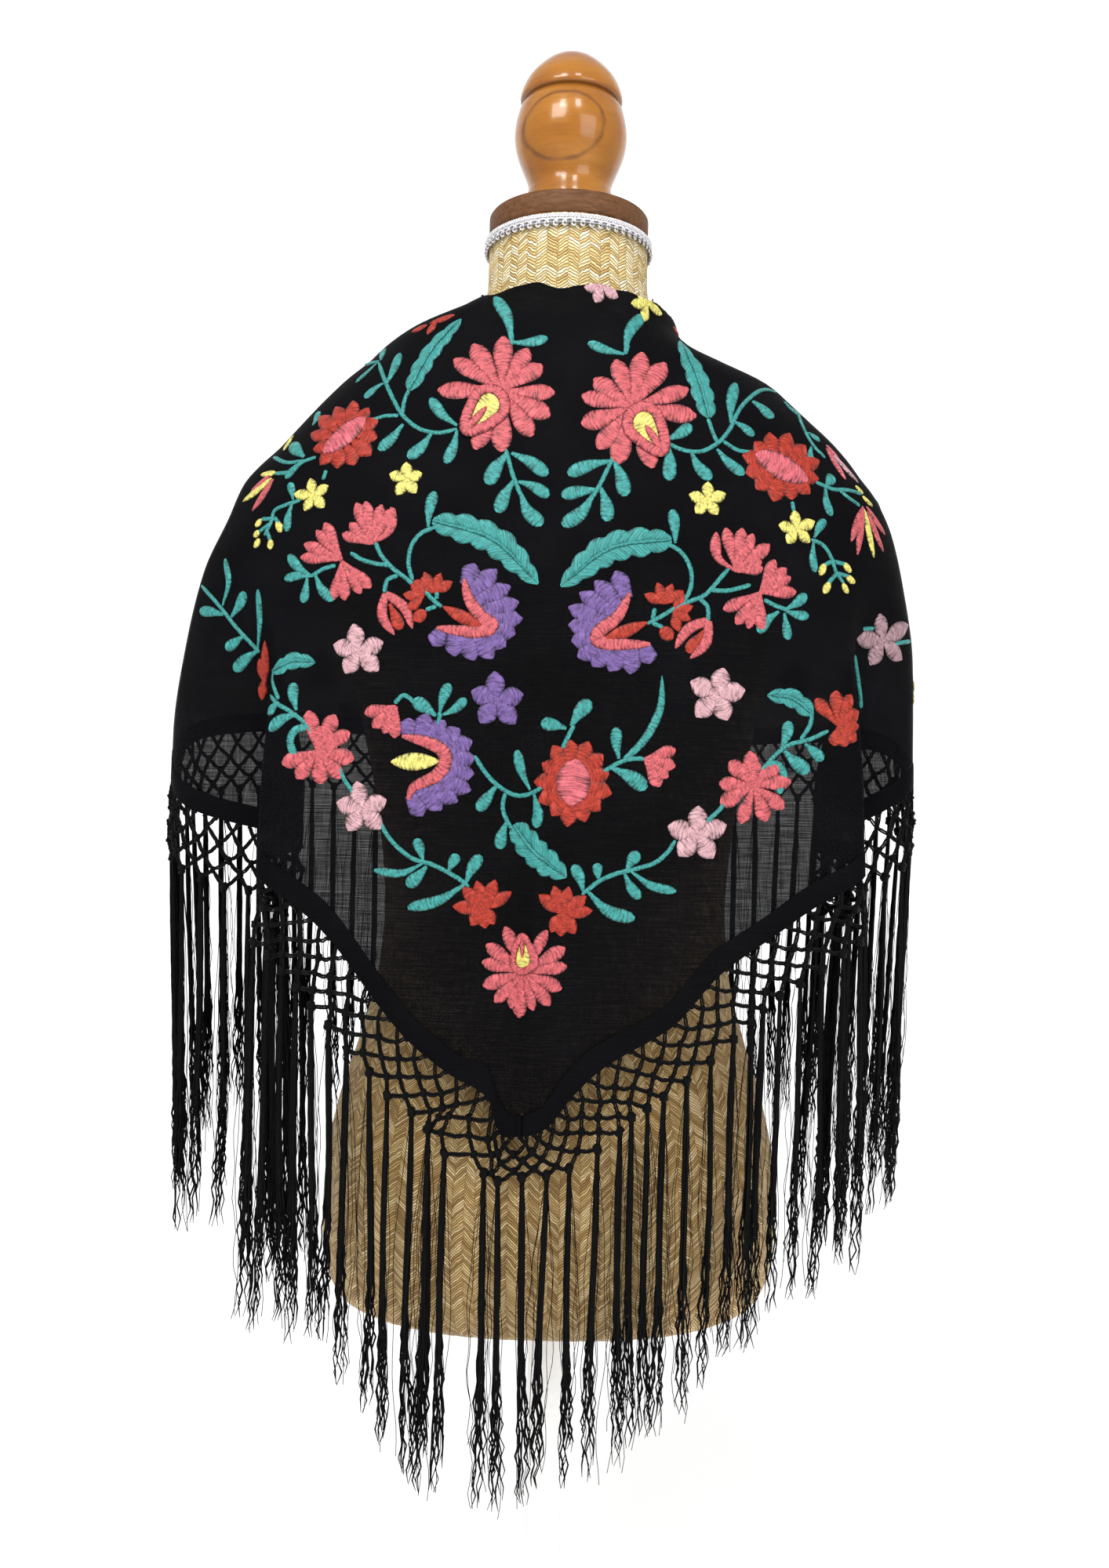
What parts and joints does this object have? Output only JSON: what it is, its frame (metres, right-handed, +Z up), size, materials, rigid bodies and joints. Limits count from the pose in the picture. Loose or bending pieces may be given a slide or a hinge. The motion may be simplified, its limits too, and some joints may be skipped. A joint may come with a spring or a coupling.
{
  "type": "embroidered triangular shawl with a knotted fringe on a limbless dress form",
  "caption": "A black triangle shawl with flower embroidery and a long knotted fringe, worn over the shoulders of a straw-covered limbless dress form with a turned wooden finial, on a stand.",
  "frame": {"origin": "The middle of the underside of the stand's round base, on the floor.", "axes": "+Z is up. The back of the shawl with its point faces -Y, the open front and the form's chest face +Y, and +X is the form's right-hand side."},
  "size_m": [0.5111, 0.2751, 1.16],
  "materials": {
    "shawl_cloth": "thin plain weave, slightly sheer",
    "hem": "plain weave turned double",
    "fringe": "knotted rayon thread with a soft sheen",
    "straw": "plaited straw strips",
    "braid": "woven scroll braid",
    "plate_wood": "matte stain",
    "finial_wood": "gloss varnish",
    "stand": "satin paint"
  },
  "bodies": {
    "root": {"shawl_cloth": "shawl_cloth", "hem_left": "hem", "hem_right": "hem", "fringe_left": "fringe", "fringe_right": "fringe", "form_torso": "straw", "neck_braid": "braid", "neck_plate": "plate_wood", "finial": "finial_wood", "stand_pole": "stand", "stand_base": "stand"}
  },
  "joints": []
}
